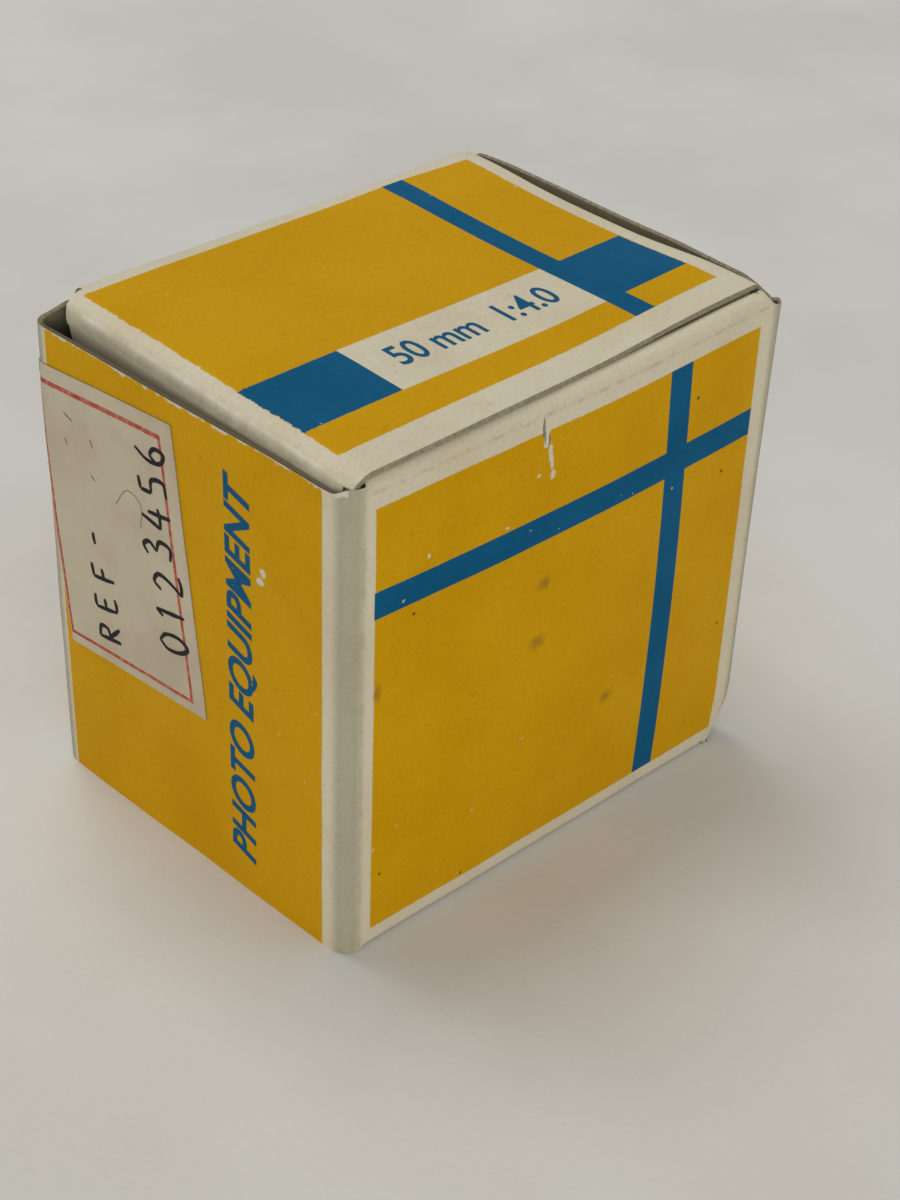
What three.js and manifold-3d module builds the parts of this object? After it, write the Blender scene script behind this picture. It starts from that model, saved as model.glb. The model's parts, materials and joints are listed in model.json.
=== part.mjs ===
// Small hinged-lid paperboard carton holding an enlarger lens. Millimetres, +Z up, front wall faces -Y.
import * as THREE from 'three';
import { mergeVertices } from 'three/addons/utils/BufferGeometryUtils.js';
import Module from 'manifold-3d';

const wasm = await Module();
wasm.setup();
const { Manifold, Mesh: SolidMesh } = wasm;

// ---- carton, outside sizes
const WIDTH = 60.0;
const DEPTH = 47.4;
const RAW_TOP = 56.8; // cut top edge of the two side walls
const BOARD = 0.6;
const FOLD = 1.6; // outer radius of a creased fold
const CORNER = 2.2; // outer radius of the four upright folds
const RACK = 0.05; // the tube leans off square in plan: mm sideways per mm of depth
const BULGE = 2.0; // how far the right wall bows out at its top edge
const LID_TOP = 59.0;
const FRONT_FOLD_TOP = 58.0;
const HINGE_Z = LID_TOP - FOLD;
const LID_HALF = 28.2;
const LID_FRONT_Y = -22.4;
const EAR_BOTTOM = 44.3;
const FLAP_START = -21.7;
const FLAP_LENGTH = 19.8;

// ---- packing
const INSERT_HALF_X = 26.1;
const INSERT_HALF_Y = 22.2;
const INSERT_TOP = 30.0;
const INSERT_HOLE = 20.9;
const PAD_TOP = 8.0;

// ---- lens, heights measured from the bottom of its rear cap
const LENS_BASE = 8.3; // height of that point above the ground
const BARREL_R = 17.6;
const CHAMBER_R = 15.9;
const FLANGE_R = 20.4;
const THREAD_R = 19.45; // 39 mm screw mount
const THREAD_PITCH = 0.977; // 26 turns to the inch
const RING_IN = 17.9;
const RING_OUT = 20.3;
const BLADES = 6;
const BLADE_IN = 9.9;
const BLADE_OUT = 13.4;
const BLADE_SPAN = 95;
const BLADE_STEP = 0.25;
const BLADE_PIVOT_R = 14.6;
const PIN_HOLE_R = 0.6;
const PIN_R = 0.5;

const HALF_W = WIDTH / 2;
const HALF_D = DEPTH / 2;
const rad = THREE.MathUtils.degToRad;

// ---- geometry helpers

function signedVolume(geometry) {
  const p = geometry.getAttribute('position');
  const index = geometry.getIndex();
  const a = new THREE.Vector3();
  const b = new THREE.Vector3();
  const c = new THREE.Vector3();
  let sum = 0;
  for (let i = 0; i < index.count; i += 3) {
    a.fromBufferAttribute(p, index.getX(i));
    b.fromBufferAttribute(p, index.getX(i + 1));
    c.fromBufferAttribute(p, index.getX(i + 2));
    sum += a.dot(b.cross(c)) / 6;
  }
  return sum;
}

// Welds the corners and turns the faces outward.
function closed(geometry) {
  geometry.deleteAttribute('normal');
  geometry.deleteAttribute('uv');
  const g = mergeVertices(geometry, 1e-5);
  if (signedVolume(g) < 0) {
    const index = g.getIndex();
    for (let i = 0; i < index.count; i += 3) {
      const keep = index.getX(i + 1);
      index.setX(i + 1, index.getX(i + 2));
      index.setX(i + 2, keep);
    }
  }
  return g;
}

function toSolid(geometry) {
  const g = closed(geometry);
  return new Manifold(new SolidMesh({
    numProp: 3,
    vertProperties: new Float32Array(g.getAttribute('position').array),
    triVerts: new Uint32Array(g.getIndex().array),
  }));
}

function fromSolid(solid) {
  const mesh = solid.getMesh();
  const g = new THREE.BufferGeometry();
  g.setAttribute('position', new THREE.BufferAttribute(new Float32Array(mesh.vertProperties), 3));
  g.setIndex(new THREE.BufferAttribute(new Uint32Array(mesh.triVerts), 1));
  return g;
}

function joined(...geometries) {
  return fromSolid(geometries.map(toSolid).reduce((a, b) => a.add(b)));
}

function cut(geometry, ...tools) {
  return fromSolid(tools.map(toSolid).reduce((a, b) => a.subtract(b), toSolid(geometry)));
}

function shapeOf(points) {
  return new THREE.Shape(points.map(([x, y]) => new THREE.Vector2(x, y)));
}

function circlePath(r, cx = 0, cy = 0, count = 40) {
  const points = [];
  for (let i = 0; i < count; i++) {
    const a = (2 * Math.PI * i) / count;
    points.push(new THREE.Vector2(cx + r * Math.cos(a), cy + r * Math.sin(a)));
  }
  return new THREE.Path(points);
}

// A flat outline in XY, raised from z0 to z1.
function plateXY(shape, z0, z1) {
  const g = new THREE.ExtrudeGeometry(shape, { depth: z1 - z0, bevelEnabled: false });
  g.translate(0, 0, z0);
  return g;
}

// A section drawn as (y, z), run from x0 to x1.
function sectionYZ(points, x0, x1) {
  const g = new THREE.ExtrudeGeometry(shapeOf(points), { depth: x1 - x0, bevelEnabled: false });
  g.applyMatrix4(new THREE.Matrix4().set(0, 0, 1, x0, 1, 0, 0, 0, 0, 1, 0, 0, 0, 0, 0, 1));
  return g;
}

// A section drawn as (x, z), run from y0 to y1.
function sectionXZ(points, y0, y1) {
  const g = new THREE.ExtrudeGeometry(shapeOf(points), { depth: y1 - y0, bevelEnabled: false });
  g.applyMatrix4(new THREE.Matrix4().set(1, 0, 0, 0, 0, 0, 1, y0, 0, 1, 0, 0, 0, 0, 0, 1));
  return g;
}

function arcPoints(cx, cy, r, from, to, steps) {
  const points = [];
  for (let i = 0; i <= steps; i++) {
    const a = rad(from + ((to - from) * i) / steps);
    points.push([cx + r * Math.cos(a), cy + r * Math.sin(a)]);
  }
  return points;
}

// A strip of board bent along an arc: outer edge one way, inner edge back.
function bentStrip(cx, cy, rOut, from, to, steps = 5, thick = BOARD) {
  return [...arcPoints(cx, cy, rOut, from, to, steps), ...arcPoints(cx, cy, rOut - thick, to, from, steps)];
}

function turned(profile, segments = 40) {
  const points = [...profile, profile[0]].map(([r, z]) => new THREE.Vector2(r, z));
  const g = new THREE.LatheGeometry(points, segments);
  g.rotateX(Math.PI / 2);
  return closed(g);
}

// The same for a profile that starts and ends on the axis.
function turnedSolid(profile, segments = 40) {
  const g = new THREE.LatheGeometry(profile.map(([r, z]) => new THREE.Vector2(r, z)), segments);
  g.rotateX(Math.PI / 2);
  return closed(g);
}

// The four upright folds and everything joined to them lean together.
function racked(geometry) {
  geometry.applyMatrix4(new THREE.Matrix4().set(1, -RACK, 0, 0, 0, 1, 0, 0, 0, 0, 1, 0, 0, 0, 0, 1));
  return geometry;
}

// ---- the object

const root = new THREE.Group();
root.name = 'boxed_enlarger_lens';

const LOOKS = {
  board: [0xc79a1a, 0.0, 0.6],
  grey_board: [0x8b8570, 0.0, 0.9],
  label: [0xd9d0bb, 0.0, 0.8],
  insert: [0xcfc9b8, 0.0, 0.85],
  corrugated: [0xa98257, 0.0, 0.9],
  leaflet: [0xf0ece0, 0.0, 0.8],
  black_metal: [0x17171a, 0.4, 0.45],
  ring_metal: [0x232327, 0.5, 0.35],
  blade: [0x2b2b2e, 0.6, 0.5],
  steel: [0xa8abad, 0.9, 0.35],
  glass: [0xbfd6e6, 0.0, 0.05],
  cap: [0x131313, 0.0, 0.55],
};

function add(name, geometry, look) {
  const [color, metalness, roughness] = LOOKS[look];
  const g = closed(geometry);
  g.computeVertexNormals();
  const material = new THREE.MeshStandardMaterial({ color, metalness, roughness, flatShading: true });
  material.name = look;
  const mesh = new THREE.Mesh(g, material);
  mesh.name = name;
  root.add(mesh);
}

// ---- carton walls

function cornerStrip(signX, signY, top) {
  const cx = signX * (HALF_W - CORNER);
  const cy = signY * (HALF_D - CORNER);
  const mid = signY > 0 ? 90 : 270;
  const side = signX > 0 ? (signY > 0 ? 0 : 360) : 180;
  const strip = bentStrip(cx, cy, CORNER, side, mid, 5);
  return plateXY(shapeOf(strip), 0, top);
}

const flatHalf = HALF_W - CORNER;
const frontFace = -HALF_D;
const frontSection = [
  ...arcPoints(frontFace + FOLD, FRONT_FOLD_TOP - FOLD, FOLD, 180, 90, 5),
  [FLAP_START - 0.2, FRONT_FOLD_TOP],
  [FLAP_START - 0.2, FRONT_FOLD_TOP - BOARD],
  ...arcPoints(frontFace + FOLD, FRONT_FOLD_TOP - FOLD, FOLD - BOARD, 90, 180, 5),
  ...arcPoints(frontFace + FOLD, 0.9 + FOLD, FOLD - BOARD, 180, 270, 5),
  [FLAP_START - 0.2, 0.9 + BOARD],
  [FLAP_START - 0.2, 0.9],
  ...arcPoints(frontFace + FOLD, 0.9 + FOLD, FOLD, 270, 180, 5),
];
add('front_wall', racked(joined(
  sectionYZ(frontSection, -flatHalf - 0.02, flatHalf + 0.02),
  cornerStrip(-1, -1, RAW_TOP),
  cornerStrip(1, -1, RAW_TOP),
)), 'board');

const backSection = [[HALF_D - BOARD, FOLD + 0.1], [HALF_D, FOLD + 0.1], [HALF_D, HINGE_Z - 0.1], [HALF_D - BOARD, HINGE_Z - 0.1]];
add('back_wall', racked(joined(
  sectionYZ(backSection, -flatHalf - 0.02, flatHalf + 0.02),
  cornerStrip(-1, 1, RAW_TOP),
  cornerStrip(1, 1, RAW_TOP),
)), 'board');

// A side wall is a sheet whose two skins share one grid, so it can bow outwards near its top.
function sideWall(sign, bulge) {
  const nu = 8;
  const nv = 6;
  const yHalf = HALF_D - CORNER - 0.05;
  const positions = [];
  for (const skin of [0, BOARD]) {
    for (let j = 0; j <= nv; j++) {
      for (let i = 0; i <= nu; i++) {
        const y = -yHalf + (2 * yHalf * i) / nu;
        const z = (RAW_TOP * j) / nv;
        const lift = Math.max(0, (z - 18) / (RAW_TOP - 18));
        const bow = bulge * Math.max(0, Math.cos((Math.PI * y) / (2 * yHalf))) * lift * lift;
        positions.push(sign * (HALF_W - skin + bow), y, z);
      }
    }
  }
  const row = nu + 1;
  const skinSize = row * (nv + 1);
  const index = [];
  const quad = (a, b, c, d) => index.push(a, b, c, a, c, d);
  for (let j = 0; j < nv; j++) {
    for (let i = 0; i < nu; i++) {
      const a = j * row + i;
      quad(a, a + 1, a + 1 + row, a + row);
      quad(skinSize + a, skinSize + a + row, skinSize + a + 1 + row, skinSize + a + 1);
    }
  }
  for (let i = 0; i < nu; i++) {
    quad(i, skinSize + i, skinSize + i + 1, i + 1);
    const t = nv * row + i;
    quad(t, t + 1, skinSize + t + 1, skinSize + t);
  }
  for (let j = 0; j < nv; j++) {
    const l = j * row;
    quad(l, l + row, skinSize + l + row, skinSize + l);
    const r = j * row + nu;
    quad(r, skinSize + r, skinSize + r + row, r + row);
  }
  const g = new THREE.BufferGeometry();
  g.setAttribute('position', new THREE.Float32BufferAttribute(positions, 3));
  g.setIndex(index);
  return g;
}
add('left_wall', racked(sideWall(-1, 0.0)), 'board');
add('right_wall', racked(sideWall(1, BULGE)), 'board');

const glueY = HALF_D - BOARD - 0.1;
add('glue_flap', racked(sectionYZ(
  [[glueY - BOARD, 3], [glueY, 3], [glueY, 54], [glueY - BOARD, 54]], 13, flatHalf - 0.4,
)), 'grey_board');

// ---- carton bottom, the same closure as the top but glued shut

const bottomPlate = [
  [-28.2, LID_FRONT_Y], [28.2, LID_FRONT_Y], [28.2, HALF_D - FOLD], [-28.2, HALF_D - FOLD],
];
add('bottom_panel', racked(joined(
  plateXY(shapeOf(bottomPlate), 0, BOARD),
  sectionYZ([[HALF_D - FOLD - 0.1, 0], ...arcPoints(HALF_D - FOLD, FOLD, FOLD, 270, 360, 5),
    ...arcPoints(HALF_D - FOLD, FOLD, FOLD - BOARD, 360, 270, 5), [HALF_D - FOLD - 0.1, BOARD]], -27.6, 27.6),
)), 'board');

function earOutline(front, back, low, high, slantFront, slantBack) {
  return [[front, high], [front + slantFront, low], [back - slantBack, low], [back, high]];
}
for (const [name, side] of [['bottom_left_ear', -1], ['bottom_right_ear', 1]]) {
  const inner = side > 0 ? 28.35 : -28.95;
  add(name, racked(sectionYZ(earOutline(-17, 20, 14, 0.8, 8, 4), inner, inner + BOARD)), 'grey_board');
}
add('bottom_dust_flap', racked(plateXY(
  shapeOf([[-27, FLAP_START], [27, FLAP_START], [24.5, FLAP_START + FLAP_LENGTH], [-24.5, FLAP_START + FLAP_LENGTH]]),
  0.9, 0.9 + BOARD,
)), 'grey_board');

// ---- lid, its two ears and the dust flap under it

const lidPlate = [
  [-LID_HALF + 1.4, LID_FRONT_Y], [LID_HALF - 1.4, LID_FRONT_Y], [LID_HALF - 0.5, LID_FRONT_Y + 1.2],
  [LID_HALF - 0.5, -17.2], [LID_HALF - FOLD, -17.2], [LID_HALF - FOLD, HALF_D - FOLD],
  [-LID_HALF + FOLD, HALF_D - FOLD], [-LID_HALF + FOLD, -17.2], [-LID_HALF + 0.5, -17.2],
  [-LID_HALF + 0.5, LID_FRONT_Y + 1.2],
];
const lidSideFold = [
  [LID_HALF - FOLD - 0.1, LID_TOP - BOARD],
  [LID_HALF - FOLD - 0.1, LID_TOP],
  ...arcPoints(LID_HALF - FOLD, LID_TOP - FOLD, FOLD, 90, 0, 5),
  ...arcPoints(LID_HALF - FOLD, LID_TOP - FOLD, FOLD - BOARD, 0, 90, 5),
];
const lidRearFold = [
  [HALF_D - FOLD - 0.1, LID_TOP - BOARD],
  [HALF_D - FOLD - 0.1, LID_TOP],
  ...arcPoints(HALF_D - FOLD, LID_TOP - FOLD, FOLD, 90, 0, 5),
  ...arcPoints(HALF_D - FOLD, LID_TOP - FOLD, FOLD - BOARD, 0, 90, 5),
];
add('lid_panel', joined(
  plateXY(shapeOf(lidPlate), LID_TOP - BOARD, LID_TOP),
  sectionXZ(lidSideFold, -17, 20.4),
  sectionXZ(lidSideFold.map(([x, z]) => [-x, z]), -17, 20.4),
  sectionYZ(lidRearFold, -26.4, 26.4),
), 'board');

const earTop = HINGE_Z - 0.1;
add('lid_left_ear', sectionYZ(
  earOutline(-16.6, 20.0, EAR_BOTTOM, earTop, 9, 4), -LID_HALF, -LID_HALF + BOARD,
), 'board');
add('lid_right_ear', sectionYZ(
  earOutline(-16.6, 20.0, EAR_BOTTOM, earTop, 9, 4), LID_HALF - BOARD, LID_HALF,
), 'board');
add('front_dust_flap', racked(plateXY(
  shapeOf([[-27, FLAP_START], [27, FLAP_START], [24.5, FLAP_START + FLAP_LENGTH], [-24.5, FLAP_START + FLAP_LENGTH]]),
  FRONT_FOLD_TOP - BOARD, FRONT_FOLD_TOP,
)), 'grey_board');

// ---- stock label on the left wall

const LABEL_OUTLINE = [[21.4, 52.5], [1.3, 54.1], [-2.6, 19.9], [20.0, 18.3]];
add('stock_label', racked(sectionYZ(LABEL_OUTLINE, -HALF_W - 0.15, -HALF_W - 0.02)), 'label');

// ---- card insert, corrugated pad and leaflet

const platform = shapeOf([
  [-INSERT_HALF_X, -INSERT_HALF_Y], [INSERT_HALF_X, -INSERT_HALF_Y],
  [INSERT_HALF_X, INSERT_HALF_Y], [-INSERT_HALF_X, INSERT_HALF_Y],
]);
platform.holes.push(circlePath(INSERT_HOLE, 0, 0, 48));
add('insert_platform', plateXY(platform, INSERT_TOP - BOARD, INSERT_TOP), 'insert');
for (const [name, side] of [['insert_left_leg', -1], ['insert_right_leg', 1]]) {
  const low = side > 0 ? INSERT_HALF_X - BOARD : -INSERT_HALF_X;
  const outline = [
    [-INSERT_HALF_Y, 2.0], [INSERT_HALF_Y, 2.0],
    [INSERT_HALF_Y, INSERT_TOP - BOARD - 0.1], [-INSERT_HALF_Y, INSERT_TOP - BOARD - 0.1],
  ];
  add(name, sectionYZ(outline, low, low + BOARD), 'insert');
}
add('corrugated_pad', plateXY(shapeOf([[-25.2, -22], [25.2, -22], [25.2, 22], [-25.2, 22]]), 1.8, PAD_TOP), 'corrugated');

const LEAF = 0.2;
const leafIn = 26.45;
const leafOut = 27.15;
add('instruction_leaflet', sectionXZ([
  [leafIn, 42], [leafIn, 2.4], [leafIn + 0.15, 2.2], [leafOut - 0.15, 2.2], [leafOut, 2.4], [leafOut, 41.4],
  [leafOut - LEAF, 41.4], [leafOut - LEAF, 2.4], [leafIn + LEAF, 2.4], [leafIn + LEAF, 42],
], -19, 16.5), 'leaflet');

// ---- lens; lift() puts a part drawn from the rear cap's bottom at its place in the carton

function lift(geometry) {
  geometry.translate(0, 0, LENS_BASE);
  return geometry;
}

function arcSector(r0, r1, from, to, z0, z1) {
  return plateXY(shapeOf([...arcPoints(0, 0, r1, from, to, 16), ...arcPoints(0, 0, r0, to, from, 16)]), z0, z1);
}

const threadProfile = [];
for (let i = 0; i < 5; i++) {
  const z = 7.5 - i * THREAD_PITCH;
  threadProfile.push([THREAD_R - 0.6, z], [THREAD_R, z - THREAD_PITCH / 2]);
}
const barrelProfile = [
  [13.0, 2.2], [13.0, 12.6], [CHAMBER_R, 12.6], [CHAMBER_R, 24.4], [BARREL_R - 0.4, 24.4], [BARREL_R, 24.0],
  [BARREL_R, 10.2], [FLANGE_R, 10.2], [FLANGE_R, 8.4], [THREAD_R - 0.8, 8.4], [THREAD_R - 0.8, 7.6],
  ...threadProfile, [THREAD_R - 0.8, 2.5], [THREAD_R - 1.2, 2.2],
];
const DRIVE_Z = 15.7;
add('main_barrel', lift(cut(
  turned(barrelProfile),
  arcSector(CHAMBER_R - 1, BARREL_R + 1, -95, -25, DRIVE_Z - 0.8, DRIVE_Z + 0.8),
)), 'black_metal');

add('rear_cell', lift(turned([
  [12.8, 4.6], [12.8, 12.4], [10.4, 12.4], [10.4, 11.95], [11.6, 11.95], [11.6, 4.6],
])), 'black_metal');
add('rear_retaining_ring', lift(turned([[10.2, 6.2], [11.45, 6.2], [11.45, 7.3], [10.2, 7.3]])), 'black_metal');

// Sag of a spherical face of radius R at distance r from the axis.
const sag = (R, r) => R - Math.sqrt(R * R - r * r);
function face(R, edge, vertexZ, direction, outward) {
  const steps = 5;
  const points = [];
  for (let i = 0; i <= steps; i++) {
    const r = (edge * i) / steps;
    points.push([r, vertexZ + direction * sag(R, r)]);
  }
  return outward ? points : points.reverse();
}
const element = (lower, upper) => lift(turnedSolid([...lower, ...upper], 32));
add('rear_crown_element', element(face(28, 11.4, 5.6, 1, true), face(48, 11.4, 10.0, -1, false)), 'glass');
add('rear_flint_element', element(face(48, 11.4, 10.04, -1, true), face(160, 11.4, 11.3, 1, false)), 'glass');

const holeAngles = Array.from({ length: BLADES }, (_, i) => (360 / BLADES) * i);
function ringShape(r0, r1, pinHoles) {
  const shape = new THREE.Shape(circlePath(r1).getPoints());
  shape.holes.push(circlePath(r0));
  if (pinHoles) {
    for (const a of holeAngles) {
      shape.holes.push(circlePath(PIN_HOLE_R, BLADE_PIVOT_R * Math.cos(rad(a)), BLADE_PIVOT_R * Math.sin(rad(a)), 8));
    }
  }
  return shape;
}
add('iris_base_ring', lift(plateXY(ringShape(10.2, 15.7, true), 12.8, 13.5)), 'blade');
add('iris_cam_ring', lift(plateXY(ringShape(10.2, 15.7, false), 15.3, 16.1)), 'blade');

holeAngles.forEach((a, i) => {
  const low = 13.65 + BLADE_STEP * i;
  const px = BLADE_PIVOT_R * Math.cos(rad(a));
  const py = BLADE_PIVOT_R * Math.sin(rad(a));
  const band = shapeOf([
    ...arcPoints(0, 0, BLADE_OUT, a + 4, a + BLADE_SPAN, 9),
    ...arcPoints(0, 0, BLADE_IN, a + BLADE_SPAN, a - 2, 9),
    ...arcPoints(px, py, 0.9, a - 120, a + 95, 6),
  ]);
  const pin = new THREE.CylinderGeometry(PIN_R, PIN_R, low + 0.1 - 12.9, 8);
  pin.rotateX(Math.PI / 2);
  pin.translate(px, py, (low + 0.1 + 12.9) / 2);
  add(`iris_blade_${i + 1}`, lift(joined(plateXY(band, low, low + 0.15), pin)), 'blade');
});

// Front cell carries the two front elements and is screwed into the barrel.
add('front_cell', lift(turned([
  [9.8, 17.0], [15.6, 17.0], [15.6, 24.6], [17.4, 24.6], [17.4, 25.4], [17.0, 25.8], [14.6, 25.8], [13.2, 24.9],
  [13.2, 20.2], [11.2, 20.2], [11.2, 17.6], [9.8, 17.6],
])), 'black_metal');
add('middle_element', element(
  [[0, 18.5], ...face(68, 11.0, 18.5, -1, true).slice(1)],
  [...face(88, 11.0, 19.3, 1, false)],
), 'glass');
add('spacer_ring', lift(turned([[11.25, 20.3], [13.1, 20.3], [13.1, 21.1], [11.25, 21.1]])), 'black_metal');
add('front_element', element([[0, 21.2], [13.0, 21.2]], face(43, 13.0, 24.4, -1, false)), 'glass');
add('front_retaining_ring', lift(turned([[12.2, 22.95], [13.1, 22.95], [13.1, 24.3], [12.6, 24.3]])), 'black_metal');

// Knurled outline: teeth round a circle.
function knurled(rOut, depth, teeth) {
  const points = [];
  for (let i = 0; i < teeth; i++) {
    const step = 360 / teeth;
    for (const [part, r] of [[0, rOut - depth], [0.25, rOut], [0.6, rOut], [0.85, rOut - depth]]) {
      const a = rad(step * (i + part));
      points.push([r * Math.cos(a), r * Math.sin(a)]);
    }
  }
  return points;
}
const ringOutline = shapeOf(knurled(RING_OUT, 0.5, 40));
ringOutline.holes.push(circlePath(RING_IN));
const scaleCollar = turned([[RING_IN, 14.3], [19.2, 14.3], [18.9, 17.2], [RING_IN, 17.2]]);
add('aperture_ring', lift(joined(plateXY(ringOutline, 10.5, 14.4), scaleCollar)), 'ring_metal');

const driveAngle = -90;
const drivePin = new THREE.CylinderGeometry(0.6, 0.6, RING_IN - 15.7 - 0.1, 16);
drivePin.rotateZ(Math.PI / 2);
drivePin.translate((RING_IN + 15.7) / 2, 0, DRIVE_Z);
drivePin.rotateZ(rad(driveAngle));
add('aperture_drive_pin', lift(drivePin), 'steel');

// Fixed index collar, held by three grub screws.
function radialHole(r, angle, z, from, to) {
  const g = new THREE.CylinderGeometry(r, r, to - from, 12);
  g.rotateZ(Math.PI / 2);
  g.translate((from + to) / 2, 0, z);
  g.rotateZ(rad(angle));
  return g;
}
const grubAngles = [30, 150, 270];
add('index_collar', lift(cut(
  turned([[BARREL_R + 0.08, 17.5], [19.0, 17.5], [19.3, 17.8], [19.3, 19.7], [19.0, 20.0], [BARREL_R + 0.08, 20.0]]),
  ...grubAngles.map((a) => radialHole(0.75, a, 18.75, 17, 20)),
)), 'black_metal');
grubAngles.forEach((a, i) => {
  add(`grub_screw_${i + 1}`, lift(radialHole(0.68, a, 18.75, BARREL_R + 0.05, 19.1)), 'steel');
});

// ---- push-on caps

const capSkirt = shapeOf(knurled(18.9, 0.35, 40));
capSkirt.holes.push(circlePath(BARREL_R + 0.2));
add('front_cap', lift(joined(
  plateXY(capSkirt, 20.4, 26.6),
  turnedSolid([[0, 26.5], [18.4, 26.5], [18.4, 27.6], [17.9, 28.2], [13.5, 28.2], [13.1, 27.9], [0, 27.9]]),
)), 'cap');
add('rear_cap', lift(turnedSolid([
  [0, 0.3], [14.6, 0.3], [15, 0], [19.9, 0], [20.4, 0.5], [20.4, 8.1], [19.6, 8.1], [19.6, 1.6], [0, 1.6],
])), 'cap');

export default root;
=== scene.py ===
"""Looks of a small paperboard carton with an enlarger lens inside it. Lengths below are in millimetres."""
import json
import math

import bmesh
import bpy
import numpy as np
from mathutils import Matrix, Vector, noise


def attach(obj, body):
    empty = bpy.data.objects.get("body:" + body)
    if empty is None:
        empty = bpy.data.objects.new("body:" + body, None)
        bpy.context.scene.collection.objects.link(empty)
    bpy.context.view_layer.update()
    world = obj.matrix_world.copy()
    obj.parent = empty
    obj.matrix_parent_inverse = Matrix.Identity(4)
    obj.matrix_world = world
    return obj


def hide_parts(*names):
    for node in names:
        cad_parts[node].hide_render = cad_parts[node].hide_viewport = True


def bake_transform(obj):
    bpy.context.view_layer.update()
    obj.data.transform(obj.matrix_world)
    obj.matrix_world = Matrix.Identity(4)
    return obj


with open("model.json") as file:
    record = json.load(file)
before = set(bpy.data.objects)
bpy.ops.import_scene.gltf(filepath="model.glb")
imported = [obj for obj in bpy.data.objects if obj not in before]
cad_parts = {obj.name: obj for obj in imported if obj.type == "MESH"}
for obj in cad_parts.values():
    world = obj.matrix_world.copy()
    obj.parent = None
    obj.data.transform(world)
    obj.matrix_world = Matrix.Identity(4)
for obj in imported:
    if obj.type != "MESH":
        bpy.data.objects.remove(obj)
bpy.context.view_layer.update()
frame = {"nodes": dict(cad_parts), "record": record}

MM = 0.001

# ---- carton sizes, as in the CAD part
HALF_W = 30.0
HALF_D = 23.7
RAW_TOP = 56.8
BOARD = 0.6
FOLD = 1.6
CORNER = 2.2
RACK = 0.05
FRONT_SWELL = 0.9
RIGHT_RISE = 1.5
BOW_Y = (-24, -21, -14, -8, 0, 10, 18, 22, 24)
BOW_X = (0.5, 0.6, 1.0, 1.5, 1.6, 2.0, 2.3, 2.0, 1.7)
CRUSH_TOP = 5.0  # height of the knocked-in corner at the right end of the front wall
CRUSH_FOOT = 25.5  # where that corner starts along the front wall's lower edge
LOW_FOLD = 0.9
LOW_FOLD_TOP = 1.0
FOLD_TOP = 58.0
LID_TOP = 59.0
HINGE_Z = LID_TOP - FOLD
LID_HALF = 28.2
ROLL_LEFT = 2.7
ROLL_RIGHT = 1.4
LID_FRONT = -22.4
EAR_BOTTOM = 44.3
FLAP_START = -21.7
FLAP_LENGTH = 19.8
FOLD_STEPS = 6
MID_STEPS = 26

# Positions along the unrolled tube, from the front left fold: front, right, back and left walls in turn.
U_RIGHT = 2 * HALF_W
U_BACK = U_RIGHT + 2 * HALF_D
U_LEFT = U_BACK + 2 * HALF_W
U_END = U_LEFT + 2 * HALF_D

# ---- yellow panels of the print, up the front and back walls, with a gap inside each end
PANEL_LOW = 2.4
PANEL_HIGH = 54.65

# ---- room, in metres, watts and degrees
FLOOR_HALF = 2.0
SKY_STRENGTH = 0.40
WINDOW_POWER = 2.95
CEILING_POWER = 3.0
CAMERA_PLACE = (-0.14153, -0.15470, 0.16796)
CAMERA_HEADING = -42.565
CAMERA_ROLL = -1.865
CAMERA_TILT = 54.871
CAMERA_LENS = 68.1

# ---- colours, linear
YELLOW = (0.66, 0.355, 0.0, 1)
BLUE = (0.002, 0.108, 0.250, 1)
WHITE = (0.72, 0.665, 0.515, 1)
RED = (0.42, 0.065, 0.045, 1)
LABEL = (0.60, 0.535, 0.40, 1)
INK = (0.015, 0.015, 0.02, 1)


def smooth(a, b, x):
    """0 at a, 1 at b, with a soft start and end; a may be larger than b."""
    t = min(1.0, max(0.0, (x - a) / (b - a)))
    return t * t * (3 - 2 * t)


# ---- materials: a small helper that writes node trees


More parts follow.
